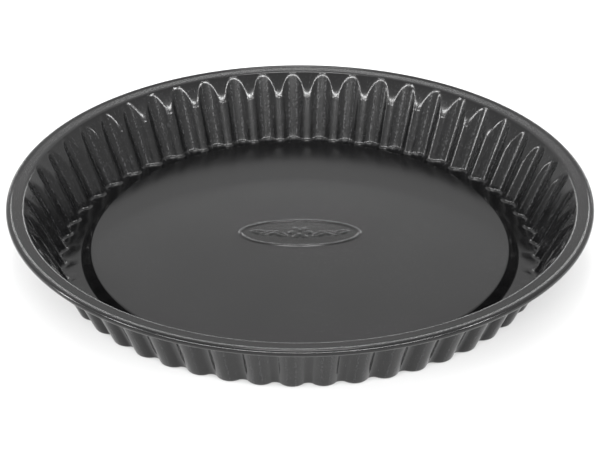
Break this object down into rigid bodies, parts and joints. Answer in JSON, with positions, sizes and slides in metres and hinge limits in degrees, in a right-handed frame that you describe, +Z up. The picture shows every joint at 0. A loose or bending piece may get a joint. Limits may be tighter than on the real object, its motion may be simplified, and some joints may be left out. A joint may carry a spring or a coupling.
{
  "type": "fluted tart pan",
  "caption": "Round steel tart pan with a raised centre plateau, a channel round it, a flared fluted wall and a wired rolled rim.",
  "frame": {"origin": "middle of the pan on the plane it rests on", "axes": "+Z up, out of the open side of the pan; +X through the middle of one lobe"},
  "size_m": [0.2998, 0.2998, 0.0365],
  "materials": {
    "nonstick_coated_steel": "satin dark grey non-stick coating with a fine metallic fleck",
    "drawn_steel_wire": "bright drawn steel wire"
  },
  "bodies": {
    "root": {"pan_shell": "nonstick_coated_steel", "rim_wire": "drawn_steel_wire"}
  },
  "joints": []
}
